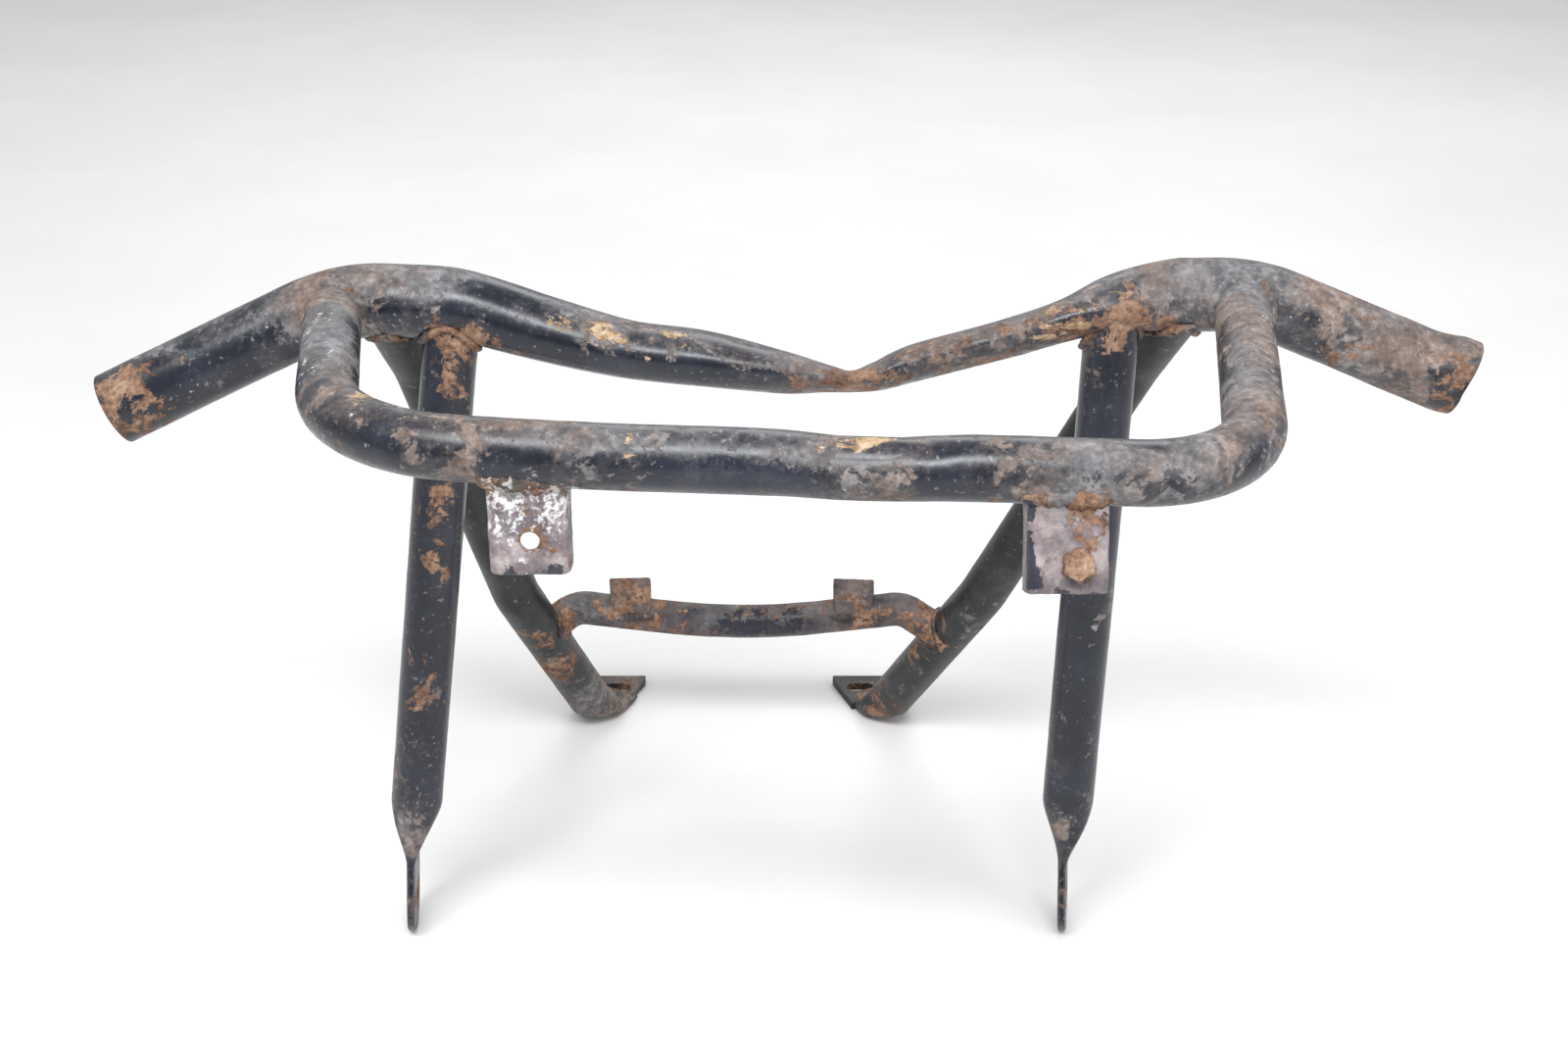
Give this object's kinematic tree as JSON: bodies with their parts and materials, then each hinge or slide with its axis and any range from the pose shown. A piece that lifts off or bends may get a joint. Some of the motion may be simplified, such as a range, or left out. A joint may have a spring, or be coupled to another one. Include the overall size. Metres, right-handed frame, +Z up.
{
  "type": "front grille guard",
  "caption": "Welded tube front guard with a bent, dented top tube, a forward hoop, two front and two splayed rear legs, a cross bar and bolt brackets, in worn black paint.",
  "frame": {"origin": "on the ground under the middle of the guard's bounding box", "axes": "+X to the right seen from the front, -Y to the front where the hoop reaches out, +Z up"},
  "size_m": [0.6327, 0.3957, 0.347],
  "materials": {
    "worn_black_paint": "gloss, worn and rust-spotted",
    "dull_black_paint": "satin, dusty",
    "rusty_bar": "matt, mostly rusted",
    "chalky_bracket": "matt, flaking",
    "rusty_weld": "matt, rusted",
    "rusty_bolt": "matt, rusted"
  },
  "bodies": {
    "root": {"top_tube": "worn_black_paint", "front_hoop": "worn_black_paint", "front_leg_left": "worn_black_paint", "front_leg_right": "worn_black_paint", "rear_leg_left": "dull_black_paint", "rear_leg_right": "dull_black_paint", "rear_cross_bar": "rusty_bar", "hoop_bracket_left": "chalky_bracket", "hoop_bracket_right": "chalky_bracket", "bar_tab_left": "rusty_bar", "bar_tab_right": "rusty_bar", "bracket_bolt": "rusty_bolt", "bracket_nut": "rusty_bolt", "hoop_weld_left": "rusty_weld", "hoop_weld_right": "rusty_weld", "front_leg_weld_left": "rusty_weld", "front_leg_weld_right": "rusty_weld", "rear_leg_weld_left": "rusty_weld", "rear_leg_weld_right": "rusty_weld", "cross_bar_weld_left": "rusty_weld", "cross_bar_weld_right": "rusty_weld", "bracket_weld_left": "rusty_weld", "bracket_weld_right": "rusty_weld", "tab_weld_left": "rusty_weld", "tab_weld_right": "rusty_weld"}
  },
  "joints": []
}
